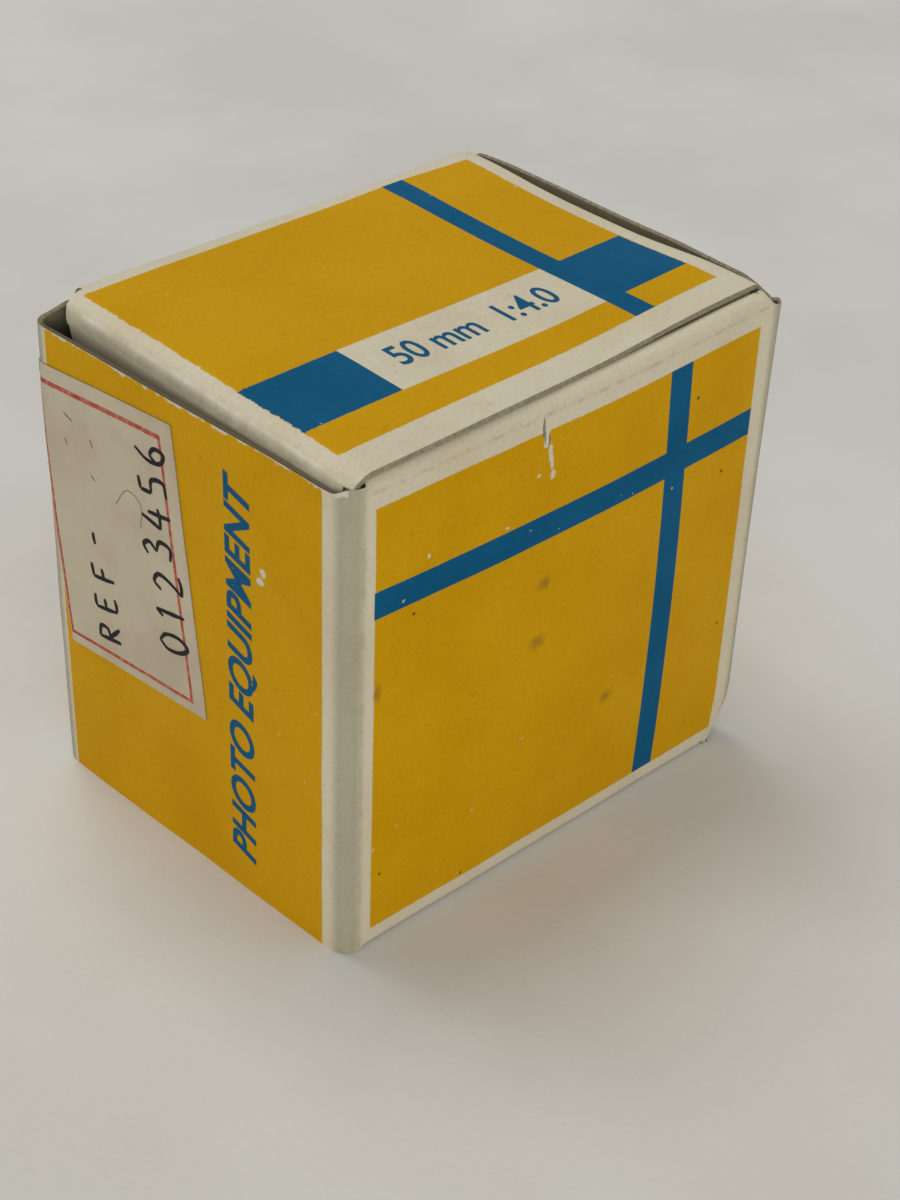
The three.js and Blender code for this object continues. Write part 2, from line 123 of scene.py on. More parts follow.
class Nodes:
    def __init__(self, name, roughness=0.6, metallic=0.0, specular=0.5):
        self.mat = bpy.data.materials.new(name)
        self.mat.use_nodes = True
        self.tree = self.mat.node_tree
        self.bsdf = self.tree.nodes["Principled BSDF"]
        self.bsdf.inputs["Roughness"].default_value = roughness
        self.bsdf.inputs["Metallic"].default_value = metallic
        self.bsdf.inputs["Specular IOR Level"].default_value = specular
        self.coords = self.tree.nodes.new("ShaderNodeTexCoord")

    def put(self, socket, value):
        if isinstance(value, bpy.types.NodeSocket):
            self.tree.links.new(value, socket)
        else:
            socket.default_value = value

    def math(self, op, a, b=0.0, clamp=False):
        n = self.tree.nodes.new("ShaderNodeMath")
        n.operation = op
        n.use_clamp = clamp
        self.put(n.inputs[0], a)
        self.put(n.inputs[1], b)
        return n.outputs[0]

    def remap(self, value, a, b, lo=0.0, hi=1.0):
        n = self.tree.nodes.new("ShaderNodeMapRange")
        n.interpolation_type = "SMOOTHSTEP"
        self.put(n.inputs["Value"], value)
        for key, v in (("From Min", a), ("From Max", b), ("To Min", lo), ("To Max", hi)):
            n.inputs[key].default_value = v
        return n.outputs["Result"]

    def mix(self, fac, a, b, blend="MIX"):
        n = self.tree.nodes.new("ShaderNodeMix")
        n.data_type = "RGBA"
        n.blend_type = blend
        self.put(n.inputs["Factor"], fac)
        self.put(n.inputs["A"], a)
        self.put(n.inputs["B"], b)
        return n.outputs["Result"]

    def noise(self, per_mm, detail=3.0, rough=0.55, stretch=(1, 1, 1)):
        """Noise in object space; per_mm is the number of blotches in a millimetre."""
        m = self.tree.nodes.new("ShaderNodeMapping")
        m.inputs["Scale"].default_value = stretch
        self.tree.links.new(self.coords.outputs["Object"], m.inputs["Vector"])
        n = self.tree.nodes.new("ShaderNodeTexNoise")
        n.inputs["Scale"].default_value = per_mm * 1000
        n.inputs["Detail"].default_value = detail
        n.inputs["Roughness"].default_value = rough
        self.tree.links.new(m.outputs["Vector"], n.inputs["Vector"])
        return n.outputs["Fac"]

    def uv(self):
        """The print's own two coordinates, in millimetres."""
        s = self.tree.nodes.new("ShaderNodeSeparateXYZ")
        self.tree.links.new(self.coords.outputs["UV"], s.inputs[0])
        return self.math("MULTIPLY", s.outputs[0], 100.0), self.math("MULTIPLY", s.outputs[1], 100.0)

    def spot(self, u, v, cu, cv, ru, rv, ragged=None, soft=0.5):
        """1 inside an ellipse of the print, fading over its outer half."""
        du = self.math("DIVIDE", self.math("SUBTRACT", u, cu), ru)
        dv = self.math("DIVIDE", self.math("SUBTRACT", v, cv), rv)
        d = self.math("SQRT", self.math("ADD", self.math("MULTIPLY", du, du), self.math("MULTIPLY", dv, dv)))
        if ragged is not None:
            d = self.math("ADD", d, ragged)
        return self.remap(d, 1.0, 1.0 - soft)

    def spots(self, u, v, places, ragged=None, soft=0.5):
        total = 0.0
        for place in places:
            total = self.math("MAXIMUM", total, self.spot(u, v, *place, ragged, soft))
        return total

    def rect(self, u, v, u0, u1, v0, v1, edge=0.05, wander=None):
        """1 inside a rectangle of the print, with an edge that wanders with the noise given."""
        off_u = self.math("ABSOLUTE", self.math("SUBTRACT", u, (u0 + u1) / 2))
        off_v = self.math("ABSOLUTE", self.math("SUBTRACT", v, (v0 + v1) / 2))
        du = self.math("SUBTRACT", off_u, (u1 - u0) / 2)
        dv = self.math("SUBTRACT", off_v, (v1 - v0) / 2)
        d = self.math("MAXIMUM", du, dv)
        if wander is not None:
            d = self.math("ADD", d, wander)
        return self.remap(d, edge, -edge)

    def bump(self, height, strength, distance_mm):
        n = self.tree.nodes.new("ShaderNodeBump")
        n.inputs["Strength"].default_value = strength
        n.inputs["Distance"].default_value = distance_mm * MM
        self.put(n.inputs["Height"], height)
        self.tree.links.new(n.outputs["Normal"], self.bsdf.inputs["Normal"])

    def colour(self, value):
        self.put(self.bsdf.inputs["Base Color"], value)

    def roughness(self, value):
        self.put(self.bsdf.inputs["Roughness"], value)


def paper_skin(n, printed, wear_edge=None):
    """Dirt, rubbed specks and a faint paper grain over the printed colour given."""
    fine = n.noise(2.4, 4)
    broad = n.noise(0.09, 4)
    colour = n.mix(n.remap(fine, 0.40, 0.70), printed, (0.93, 0.92, 0.90, 1), "MULTIPLY")
    colour = n.mix(n.remap(broad, 0.35, 0.75), colour, (0.93, 0.90, 0.85, 1), "MULTIPLY")
    stained = n.remap(n.noise(0.5, 5, 0.7), 0.60, 0.8, 0.0, 0.6)
    colour = n.mix(stained, colour, (0.72, 0.65, 0.52, 1), "MULTIPLY")
    colour = n.mix(n.remap(n.noise(1.1, 2, 0.5), 0.74, 0.80, 0.0, 0.75), colour, (0.70, 0.62, 0.44, 1))
    if wear_edge is not None:
        colour = n.mix(wear_edge, colour, (0.66, 0.61, 0.49, 1))
    n.colour(colour)
    n.roughness(n.remap(broad, 0.3, 0.7, 0.42, 0.58))
    n.bump(n.math("ADD", n.math("MULTIPLY", fine, 0.5), n.noise(0.25, 3)), 0.16, 0.12)


def sleeve_print():
    n = Nodes("sleeve_print", specular=0.06)
    u, v = n.uv()
    u = n.math("FLOORED_MODULO", u, U_END)
    ragged = n.math("MULTIPLY", n.math("SUBTRACT", n.noise(2.2, 4, 0.7), 0.5), 0.22)
    walls = [
        (3.45, U_RIGHT - 3.9, PANEL_LOW, PANEL_HIGH),
        (U_RIGHT + 3.45, U_BACK - 1.7, -9, 70),
        (U_BACK + 3.35, U_LEFT - 3.4, PANEL_LOW, PANEL_HIGH),
        (U_LEFT + 2.6, U_END - 3.45, -9, 70),
    ]
    colour = WHITE
    for u0, u1, v0, v1 in walls:
        colour = n.mix(n.rect(u, v, u0, u1, v0, v1, 0.06, ragged), colour, YELLOW)
    for base in (0.0, U_BACK):
        across = n.rect(u, v, base + 3.35, base + 2 * HALF_W - 3.9, 42.2, 45.3, 0.06)
        upright = n.rect(u, v, base + 43.1, base + 46.2, PANEL_LOW, PANEL_HIGH, 0.06)
        colour = n.mix(n.math("MAXIMUM", across, upright), colour, BLUE)
    # grime beside the corner folds and along the top fold, smudges, dots and a torn scuff on the front
    grime = n.remap(n.noise(0.55, 5, 0.7), 0.35, 0.75)
    for base in (0.0, U_RIGHT, U_BACK, U_LEFT, U_END):
        handled = n.rect(u, v, base - 1.7, base + 1.9, -5, 70, 0.9)
        colour = n.mix(n.math("MULTIPLY", handled, 0.9), colour, (0.57, 0.58, 0.56, 1), "MULTIPLY")
        line = n.rect(u, v, base + 1.75, base + 2.1, -5, 70, 0.35)
        dirt = n.math("MULTIPLY", line, n.math("MULTIPLY", grime, 0.5))
        colour = n.mix(dirt, colour, (0.20, 0.16, 0.09, 1))
    crease = n.rect(u, v, 2.4, U_RIGHT - 2.4, 56.3, 56.55, 0.3)
    colour = n.mix(n.math("MULTIPLY", crease, n.math("MULTIPLY", grime, 0.55)), colour, (0.24, 0.17, 0.09, 1))
    broken = n.math("MULTIPLY", n.math("SUBTRACT", n.noise(1.5, 4, 0.7), 0.5), 1.6)
    smudges = [(25.6, 37.1, 1.3, 1.1), (25.0, 29.9, 1.6, 1.3), (36.7, 17.1, 1.4, 1.1), (3.9, 33.4, 0.7, 1.6)]
    smudged = n.math("MULTIPLY", n.spots(u, v, smudges, broken, 0.9), 0.45)
    colour = n.mix(smudged, colour, (0.12, 0.08, 0.03, 1))
    dark = [(8.25, 40.9), (47.4, 50.0), (52.2, 39.3), (54.7, 18.0), (4.6, 9.5), (16.3, 2.9)]
    dots = n.spots(u, v, [(a, b, 0.26, 0.24) for a, b in dark])
    colour = n.mix(n.math("MULTIPLY", dots, 0.85), colour, (0.04, 0.03, 0.02, 1))
    pale = [
        (20.25, 45.8, 0.3, 0.2), (10.1, 46.8, 0.2, 0.3), (8.7, 55.9, 0.55, 0.4), (25.35, 54.0, 0.5, 1.5),
        (25.9, 52.2, 0.36, 1.2), (26.15, 50.9, 0.26, 1.0), (26.3, 49.6, 0.42, 0.6), (24.4, 50.1, 0.3, 0.25),
        (U_LEFT + 35.6, 43.2, 0.5, 0.6), (U_LEFT + 35.2, 42.0, 0.6, 0.5),
    ]
    tears = [(24.9, 55.2, 0.22, 1.3), (25.7, 53.6, 0.16, 0.9), (25.1, 54.2, 0.14, 0.9)]
    torn = n.spots(u, v, tears, broken, 0.3)
    colour = n.mix(n.spots(u, v, pale, broken, 0.35), colour, (0.72, 0.68, 0.58, 1))
    colour = n.mix(n.math("MULTIPLY", torn, 0.75), colour, (0.16, 0.13, 0.09, 1))
    # the cut top edges of the side walls are rubbed back to white fibre
    near_cut = n.math("ADD", v, n.math("MULTIPLY", n.noise(0.75, 3, 0.6), 1.9))
    sides = n.math("MAXIMUM", n.rect(u, v, U_RIGHT, U_BACK, 50, 80), n.rect(u, v, U_LEFT, U_END, 50, 80))
    rubbed = n.math("MULTIPLY", n.remap(near_cut, 57.6, 57.85), sides)
    paper_skin(n, colour, rubbed)
    return n.mat


def lid_print():
    n = Nodes("lid_print", specular=0.06)
    u, v = n.uv()
    far_corner = n.math("MULTIPLY", n.remap(u, 14, 27), n.remap(v, 5, 20))
    v = n.math("ADD", v, n.math("MULTIPLY", far_corner, 1.0))
    ragged = n.math("MULTIPLY", n.math("SUBTRACT", n.noise(2.2, 4, 0.7), 0.5), 0.22)
    left_fray = n.math("MULTIPLY", n.math("SUBTRACT", n.noise(0.8, 5, 0.75), 0.5), 0.9)
    left_only = n.remap(u, -24.0, -25.2)
    wander = n.math("ADD", ragged, n.math("MULTIPLY", left_fray, left_only))
    colour = n.mix(n.rect(u, v, -26.2, 25.9, -18.6, 21.0, 0.06, wander), WHITE, YELLOW)
    band = n.rect(u, v, -26.2, 25.85, -14.2, -4.4, 0.06, wander)
    bar = n.rect(u, v, 14.2, 17.1, -18.6, 21.0, 0.06)
    colour = n.mix(n.math("MAXIMUM", band, bar), colour, BLUE)
    colour = n.mix(n.rect(u, v, -13.9, 14.2, -14.25, -4.35, 0.05), colour, WHITE)
    rolled = n.remap(n.math("ABSOLUTE", u), 27.0, 28.6)
    greyed = n.math("MULTIPLY", rolled, n.remap(n.noise(0.8, 5, 0.7), 0.3, 0.75, 0.35, 0.9))
    colour = n.mix(greyed, colour, (0.84, 0.84, 0.82, 1), "MULTIPLY")
    # painted highlight along the pressed line of the left roll, and painted shade on the roll below it
    drift = n.math("MULTIPLY", n.math("SUBTRACT", n.noise(0.1, 2), 0.5), 1.2)
    painted_highlight_line = n.rect(u, v, -28.35, -28.05, -22, 19, 0.3, drift)
    painted_highlight_line = n.math("MULTIPLY", painted_highlight_line, n.remap(n.noise(0.3, 3), 0.35, 0.6))
    painted_shade_band = n.rect(u, v, -29.3, -28.75, -22, 19, 0.6, drift)
    painted_shade_band = n.math("MULTIPLY", painted_shade_band, n.remap(n.noise(0.4, 3), 0.3, 0.6, 0.4, 1))
    # the lighter colour on the line is a painted highlight; the darker band below it is painted shade
    colour = n.mix(n.math("MULTIPLY", painted_highlight_line, 0.8), colour, (0.84, 0.80, 0.68, 1))
    colour = n.mix(n.math("MULTIPLY", painted_shade_band, 0.6), colour, (0.36, 0.33, 0.26, 1))
    paper_skin(n, colour)
    return n.mat


def plain_white():
    n = Nodes("coated_white", specular=0.06)
    paper_skin(n, WHITE)
    return n.mat


def board_back():
    n = Nodes("board_back", roughness=0.9, specular=0.2)
    fibre = n.noise(1.8, 5, 0.7, (1, 1, 0.35))
    colour = n.mix(fibre, (0.19, 0.165, 0.105, 1), (0.27, 0.235, 0.155, 1))
    n.colour(n.mix(n.remap(n.noise(3.0, 2), 0.66, 0.74, 0, 0.6), colour, (0.38, 0.34, 0.25, 1)))
    n.bump(fibre, 0.5, 0.1)
    return n.mat


def board_cut():
    n = Nodes("board_cut", roughness=0.95, specular=0.15)
    fibre = n.noise(2.6, 4, 0.7)
    n.colour(n.mix(n.remap(fibre, 0.3, 0.72), (0.24, 0.205, 0.14, 1), (0.40, 0.36, 0.27, 1)))
    n.bump(fibre, 0.7, 0.1)
    return n.mat


def label_paper():
    n = Nodes("label_paper", roughness=0.85, specular=0.25)
    s, t = n.uv()
    ragged = n.math("MULTIPLY", n.math("SUBTRACT", n.noise(3.0, 3), 0.5), 0.12)
    outer = n.rect(s, t, 1.1, 33.2, 1.9, 22.6, 0.05, ragged)
    inner = n.rect(s, t, 1.55, 32.6, 2.35, 22.2, 0.05, ragged)
    line = n.math("SUBTRACT", outer, inner, True)
    stain = n.noise(0.12, 4, 0.6)
    paper = n.mix(n.remap(stain, 0.3, 0.75), LABEL, (0.52, 0.44, 0.33, 1))
    paper = n.mix(n.remap(n.noise(1.3, 5, 0.7), 0.6, 0.78, 0, 0.5), paper, (0.36, 0.31, 0.24, 1))
    worn_red = n.mix(n.remap(n.noise(1.6, 3), 0.35, 0.8), RED, (0.60, 0.25, 0.18, 1))
    n.colour(n.mix(line, paper, worn_red))
    n.bump(n.noise(2.0, 4), 0.3, 0.08)
    return n.mat


def flat_ink(name, colour, rough=0.6):
    n = Nodes(name, roughness=rough, specular=0.1)
    worn = tuple(min(1, c * 1.5 + 0.03) for c in colour[:3]) + (1,)
    n.colour(n.mix(n.remap(n.noise(2.0, 4, 0.7), 0.45, 0.75, 0.0, 0.3), colour, worn))
    return n.mat


def card(name, a, b, scale=1.2):
    n = Nodes(name, roughness=0.85, specular=0.25)
    grain = n.noise(scale, 5, 0.65)
    n.colour(n.mix(grain, a, b))
    n.bump(grain, 0.3, 0.1)
    return n.mat


def metal(name, colour, rough, metallic, grain=2.0):
    n = Nodes(name, roughness=rough, metallic=metallic)
    wear = n.noise(grain, 4, 0.6)
    lighter = tuple(min(1, c * 1.35 + 0.01) for c in colour[:3]) + (1,)
    n.colour(n.mix(wear, colour, lighter))
    n.roughness(n.remap(wear, 0.3, 0.7, rough * 0.85, min(1, rough * 1.2)))
    n.bump(wear, 0.08, 0.02)
    return n.mat


def glass():
    n = Nodes("optical_glass", roughness=0.02)
    n.bsdf.inputs["Transmission Weight"].default_value = 1.0
    n.bsdf.inputs["IOR"].default_value = 1.6
    n.bsdf.inputs["Coat Weight"].default_value = 0.6
    n.bsdf.inputs["Coat Tint"].default_value = (0.72, 0.62, 0.95, 1)
    tint = n.noise(0.03, 1)
    n.colour(n.mix(tint, (0.93, 0.96, 0.97, 1), (0.90, 0.93, 0.98, 1)))
    return n.mat


# ---- the unrolled tube


def plan_at(u):
    """Point and outward direction, in plan, of the tube's outer skin at u along its walls."""
    u = u % U_END
    corners = (
        (0.0, -1, -1, 225), (U_RIGHT, 1, -1, 315), (U_BACK, 1, 1, 45),
        (U_LEFT, -1, 1, 135), (U_END, -1, -1, 225),
    )
    for centre, cx, cy, mid in corners:
        if abs(u - centre) <= CORNER:
            a = math.radians(mid + (u - centre) / CORNER * 45)
            d = (math.cos(a), math.sin(a))
            return (cx * (HALF_W - CORNER) + CORNER * d[0], cy * (HALF_D - CORNER) + CORNER * d[1]), d
    if u < U_RIGHT:
        return (u - HALF_W, -HALF_D), (0, -1)
    if u < U_BACK:
        return (HALF_W, u - U_RIGHT - HALF_D), (1, 0)
    if u < U_LEFT:
        return (HALF_W - (u - U_BACK), HALF_D), (0, 1)
    return (-HALF_W, HALF_D - (u - U_LEFT)), (-1, 0)


def corner_rise(x, y):
    """How far the top stands higher towards its right corners."""
    return smooth(4, 28, x) * (0.1 + 0.75 * smooth(2, -20, y) + 0.4 * smooth(5, 22, y))


def deform(x, y, z):
    """Racking, bowing and knocks of the real tube, added to the square shape."""
    high = max(0.0, z / RAW_TOP)
    lift = max(0.0, (z - 18) / (RAW_TOP - 18))
    front = smooth(-20, -23.2, y)
    post = smooth(27.2, 29.2, x)
    if x > HALF_W - 1.5:
        x += float(np.interp(y, BOW_Y, BOW_X)) * min(1.1, lift) ** 2
    if y < -HALF_D + 1.5:
        swell = math.cos(math.pi * min(1, abs(x) / 28) / 2)
        swell *= math.sin(math.pi * min(1, max(0, z) / 57))
        y -= FRONT_SWELL * max(0, swell)
        x += 0.8 * smooth(10, 29, x) * min(1, high * 8)
    fold_rise = (corner_rise(x, y) + 0.2) * (1 - post) * front
    wall_rise = RIGHT_RISE * smooth(26, 29, x) * smooth(-23.7, -17.5, y) * smooth(24.2, 22.2, y)
    z += (fold_rise + wall_rise) * high ** 4
    crushed = CRUSH_FOOT + 0.72 * max(0.0, z) + 0.55 * (y + HALF_D)
    if z < CRUSH_TOP and x > crushed:
        x = crushed + 0.15 * (x - crushed)
    x -= RACK * y
    wob = noise.noise(Vector((x, y, z)) * 0.11) * 0.16 + noise.noise(Vector((x, y, z)) * 0.45) * 0.03
    return x + wob, y + wob * 0.6, z


def wall_at(u, v, out=0.0):
    """The point at u along and v up the walls, moved outward by the amount given."""
    (x, y), d = plan_at(u)
    x, y, z = deform(x, y, v)
    return Vector((x + d[0] * out, y + d[1] * out, z))


# ---- mesh builders


def make(name, verts, faces, uvs, mats, face_mats, smooth_angle=40, weld=False):
    """A mesh from millimetre points; uvs are per vertex, in millimetres."""
    mesh = bpy.data.meshes.new(name)
    mesh.from_pydata([tuple(c * MM for c in v) for v in verts], [], faces)
    layer = mesh.uv_layers.new(name="print")
    for loop in mesh.loops:
        layer.data[loop.index].uv = tuple(c / 100 for c in uvs[loop.vertex_index])
    for m in mats:
        mesh.materials.append(m)
    for poly, index in zip(mesh.polygons, face_mats):
        poly.material_index = index
        poly.use_smooth = True
    if weld:
        bm = bmesh.new()
        bm.from_mesh(mesh)
        bmesh.ops.remove_doubles(bm, verts=bm.verts, dist=0.001 * MM)
        bm.to_mesh(mesh)
        bm.free()
    mesh.validate()
    obj = bpy.data.objects.new(name, mesh)
    bpy.context.scene.collection.objects.link(obj)
    bpy.context.view_layer.update()
    chosen = {"object": obj, "active_object": obj}
    chosen.update(selected_objects=[obj], selected_editable_objects=[obj])
    with bpy.context.temp_override(**chosen):
        bpy.ops.object.shade_smooth_by_angle(angle=math.radians(smooth_angle))
    return obj


def sheet(name, points, uvs, mats, keep=None, thick=BOARD, ring=False, flip=False, open_sides=()):
    """A sheet of board from a grid of outer-skin points [column][row].

    mats are outer skin, inner skin and cut edge. Cells whose keep is False are left out, and every side gets
    a cut edge, except the sides of the grid named open.
    """
    p = np.array(points, float)
    nc, nr = p.shape[:2]
    du = np.gradient(p, axis=0)
    if ring:
        # the last column is the first one again, so both take the slope across the join
        du[0] = du[-1] = (p[1] - p[-2]) / 2
        open_sides = ("left", "right")
    dv = np.gradient(p, axis=1)
    normal = np.cross(du, dv)
    normal /= np.maximum(np.linalg.norm(normal, axis=2, keepdims=True), 1e-9)
    if flip:
        normal = -normal
    inner = p - normal * thick
    cells = nc - 1
    keep = np.ones((cells, nr - 1), bool) if keep is None else np.array(keep, bool)
    verts = [tuple(q) for q in p.reshape(-1, 3)] + [tuple(q) for q in inner.reshape(-1, 3)]
    flat_uv = [tuple(q) for q in np.array(uvs, float).reshape(-1, 2)]
    shift = nc * nr
    faces, kinds = [], []

    def add(face, kind):
        faces.append(face[::-1] if flip else face)
        kinds.append(kind)

    def at(c, r):
        return c * nr + r

    for c in range(cells):
        for r in range(nr - 1):
            if not keep[c, r]:
                continue
            quad = [at(c, r), at(c + 1, r), at(c + 1, r + 1), at(c, r + 1)]
            add(quad, 0)
            add([i + shift for i in quad[::-1]], 1)
            beside = [(c, r - 1), (c + 1, r), (c, r + 1), (c - 1, r)]
            sides = [(beside[k], quad[k], quad[(k + 1) % 4]) for k in range(4)]
            for (cc, rr), a, b in sides:
                if (cc < 0 and "left" in open_sides) or (cc >= cells and "right" in open_sides):
                    continue
                inside = 0 <= rr < nr - 1 and 0 <= cc < cells and keep[cc, rr]
                if not inside:
                    add([b, a, a + shift, b + shift], 2)
    used = sorted({i for f in faces for i in f})
    index = {old: new for new, old in enumerate(used)}
    all_uv = flat_uv + flat_uv
    kept_verts = [verts[i] for i in used]
    kept_faces = [[index[i] for i in f] for f in faces]
    kept_uvs = [all_uv[i] for i in used]
    return make(name, kept_verts, kept_faces, kept_uvs, mats, kinds, 50, ring)


def ribbon(name, strokes, place, width, mat, body, lift):
    """Flat pen strokes, each a list of (s, t, width scale) points, put on a surface by place(s, t, lift)."""
    verts, faces = [], []
    for stroke in strokes:
        pts = [Vector((q[0], q[1], 0)) for q in stroke]
        scale = [q[2] for q in stroke]
        base = len(verts)
        for i, q in enumerate(pts):
            a, b = pts[max(0, i - 1)], pts[min(len(pts) - 1, i + 1)]
            d = (b - a).normalized() if (b - a).length > 1e-9 else Vector((1, 0, 0))
            side = Vector((-d.y, d.x, 0)) * width * scale[i] / 2
            for e in (q - side, q + side):
                verts.append(tuple(place(e.x, e.y, lift)))
        for i in range(len(pts) - 1):
            k = base + 2 * i
            faces.append([k, k + 2, k + 3, k + 1])
    obj = make(name, verts, faces, [(0, 0)] * len(verts), [mat], [0] * len(faces))
    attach(obj, body)


def curve_through(points, steps):
    """A smooth line through the points given (Catmull-Rom)."""
    pts = [Vector((p[0], p[1])) for p in points]
    pts = [pts[0] * 2 - pts[1]] + pts + [pts[-1] * 2 - pts[-2]]
    out = []
    for i in range(1, len(pts) - 2):
        a, b, c, d = pts[i - 1:i + 3]
        for k in range(steps):
            t = k / steps
            square = (2 * a - 5 * b + 4 * c - d) * t * t
            cube = (3 * b - a - 3 * c + d) * t ** 3
            q = 0.5 * (2 * b + (c - a) * t + square + cube)
            out.append((q.x, q.y))
    out.append((pts[-2].x, pts[-2].y))
    return out


def lettering(name, text, place, origin, length, height, mat, body, slant, weight, lift):
    """Plain letters laid on a surface: place(s, t, lift) puts the point s along and t up from origin."""
    curve = bpy.data.curves.new(name, "FONT")
    curve.body = text
    curve.shear = slant
    curve.offset = weight
    curve.resolution_u = 5
    holder = bpy.data.objects.new(name + "_curve", curve)
    bpy.context.scene.collection.objects.link(holder)
    bpy.context.view_layer.update()
    mesh = bpy.data.meshes.new_from_object(holder.evaluated_get(bpy.context.evaluated_depsgraph_get()))
    bpy.data.objects.remove(holder)
    co = np.array([v.co for v in mesh.vertices], float)
    low, high = co.min(0), co.max(0)
    verts = []
    for x, y, _ in co:
        s = origin[0] + (x - low[0]) / (high[0] - low[0]) * length
        t = origin[1] + (y - low[1]) / (high[1] - low[1]) * height
        verts.append(tuple(place(s, t, lift)))
    faces = [list(poly.vertices) for poly in mesh.polygons]
    bpy.data.meshes.remove(mesh)
    obj = make(name, verts, faces, [(0, 0)] * len(verts), [mat], [0] * len(faces))
    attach(obj, body)


# ---- carton

SLEEVE = sleeve_print()
LID_SKIN = lid_print()
COATED = plain_white()
BACK = board_back()
CUT = board_cut()

columns = []
for start, end, count in (
    (CORNER, U_RIGHT - CORNER, 34), (U_RIGHT - CORNER, U_RIGHT + CORNER, 8),
    (U_RIGHT + CORNER, U_BACK - CORNER, 24), (U_BACK - CORNER, U_BACK + CORNER, 8),
    (U_BACK + CORNER, U_LEFT - CORNER, 24), (U_LEFT - CORNER, U_LEFT + CORNER, 8),
    (U_LEFT + CORNER, U_END - CORNER, 30), (U_END - CORNER, U_END + CORNER, 8),
):
    columns += [start + (end - start) * i / count for i in range(count)]
# extra columns where the front folds run out into the corners
columns += [CORNER + 0.3, CORNER + 0.7, U_RIGHT - CORNER - 0.3, U_RIGHT - CORNER - 0.7]
columns = sorted(columns) + [U_END + CORNER]


def sleeve_column(u):
    """Points and print coordinates up one column of the tube."""
    along = u % U_END
    front, back = 0.0, 0.0
    if along < U_RIGHT:
        front = smooth(HALF_W - CORNER + 0.02, HALF_W - CORNER - 0.9, abs(along - HALF_W))
    if U_BACK < along < U_LEFT:
        back = smooth(0.02, 0.5, min(along - U_BACK - CORNER, U_LEFT - CORNER - along))
    (px, py), d = plan_at(u)
    post = 0.7 if px < 0 else 0.1
    top = RAW_TOP + back * (HINGE_Z - 0.1 - RAW_TOP) + post * smooth(-HALF_D + 2.2, -HALF_D + 0.4, py)
    low, high = LOW_FOLD_TOP, FOLD_TOP - FOLD
    path = []
    for i in range(FOLD_STEPS + 1):
        a = math.radians(90 * (1 - i / FOLD_STEPS))
        inward = front * LOW_FOLD * (1 - math.cos(a))
        z = low - front * LOW_FOLD * math.sin(a) - (1 - front) * low * (1 - i / FOLD_STEPS)
        path.append((inward, z, low - LOW_FOLD * (1 - i / FOLD_STEPS) * 1.57 if front > 0.5 else z))
    for i in range(1, MID_STEPS):
        z = low + (high - low) * i / MID_STEPS
        path.append((0.0, z, z))
    for i in range(FOLD_STEPS + 1):
        a = math.radians(90 * i / FOLD_STEPS)
        inward = front * FOLD * (1 - math.cos(a))
        z = high + front * FOLD * math.sin(a) + (1 - front) * (top - high) * i / FOLD_STEPS
        path.append((inward, z, high + FOLD * i / FOLD_STEPS * 1.57 if front > 0.5 else z))
    _, z, v = path[-1]
    path.append((front * (FOLD + 0.2) + (1 - front) * 0.02, z + (1 - front) * 0.02, v + 0.2))
    points, uvs = [], []
    for inward, z, v in path:
        x0, y0, z0 = deform(px - d[0] * inward, py - d[1] * inward, z)
        points.append((x0, y0, z0))
        uvs.append((u, v))
    return points, uvs


made = [sleeve_column(u) for u in columns]
sleeve = sheet("sleeve", [m[0] for m in made], [m[1] for m in made], [SLEEVE, BACK, CUT], ring=True)
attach(sleeve, "carton")
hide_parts("front_wall", "back_wall", "left_wall", "right_wall")


def lid_shape(x, y, z):
    """Skewed front edge, wider right side, lifted right corners and a slight waviness of the real lid."""
    beyond = smooth(24.5, 27.5, x)
    front = smooth(-12, -22.4, y)
    wide = 0.8 + 0.1 * smooth(5, 22, y) + 0.65 * smooth(-5, -20, y)
    rise = corner_rise(x, y) * smooth(23.7, 21.2, y)
    return (
        x + beyond * wide + 0.06 * noise.noise(Vector((x, y, 5)) * 0.2),
        y + front * (-0.9 + 1.4 * smooth(-28, 28, x)),
        z + rise - 0.18 * front + 0.10 * noise.noise(Vector((x, y, 9)) * 0.08),
    )


def lid_grid(roll_left, roll_right, cols=34, rows=34, turn=9):
    """Points of the lid's outer skin: flat top, a soft roll down each side and the hinge fold at the back."""
    across = [(-1, 1 - i / turn) for i in range(turn)] + [(0, i / cols) for i in range(cols + 1)]
    across += [(1, (i + 1) / turn) for i in range(turn)]
    points, uvs = [], []
    for side, a in across:
        col, cuv = [], []
        radius = roll_left if side < 0 else roll_right
        left, right = -LID_HALF + roll_left, LID_HALF - roll_right
        ang = math.radians(90 * a) if side else 0.0
        if side < 0:
            radius += 0.16 * math.exp(-((a - 0.55) / 0.12) ** 2)
        end = left if side < 0 else right
        x = left + (right - left) * a if side == 0 else end + side * radius * math.sin(ang)
        drop = roll_left - radius * math.cos(ang) if side < 0 else radius * (1 - math.cos(ang))
        flat_x = x if side == 0 else end + side * radius * ang
        back_end = HALF_D - FOLD - (0.9 * a * a if side else 0.0)
        for j in range(rows + 7):
            fold = max(0, j - rows) / 6
            y = LID_FRONT + (back_end - LID_FRONT) * min(j, rows) / rows
            b = math.radians(90 * fold)
            z = LID_TOP - drop - FOLD * (1 - math.cos(b))
            col.append(lid_shape(x, y + FOLD * math.sin(b), z))
            cuv.append((flat_x, y + FOLD * b))
        points.append(col)
        uvs.append(cuv)
    keep = np.ones((len(across) - 1, rows + 6), bool)
    keep[:turn, rows:] = False
    keep[-turn:, rows:] = False
    keep[-6:, :3] = False
    keep[:3, :1] = False
    return points, uvs, keep


grid, uvs, keep = lid_grid(ROLL_LEFT, ROLL_RIGHT)
lid = sheet("lid", grid, uvs, [LID_SKIN, BACK, CUT], keep, open_sides=("left", "right"))
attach(lid, "lid")
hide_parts("lid_panel")

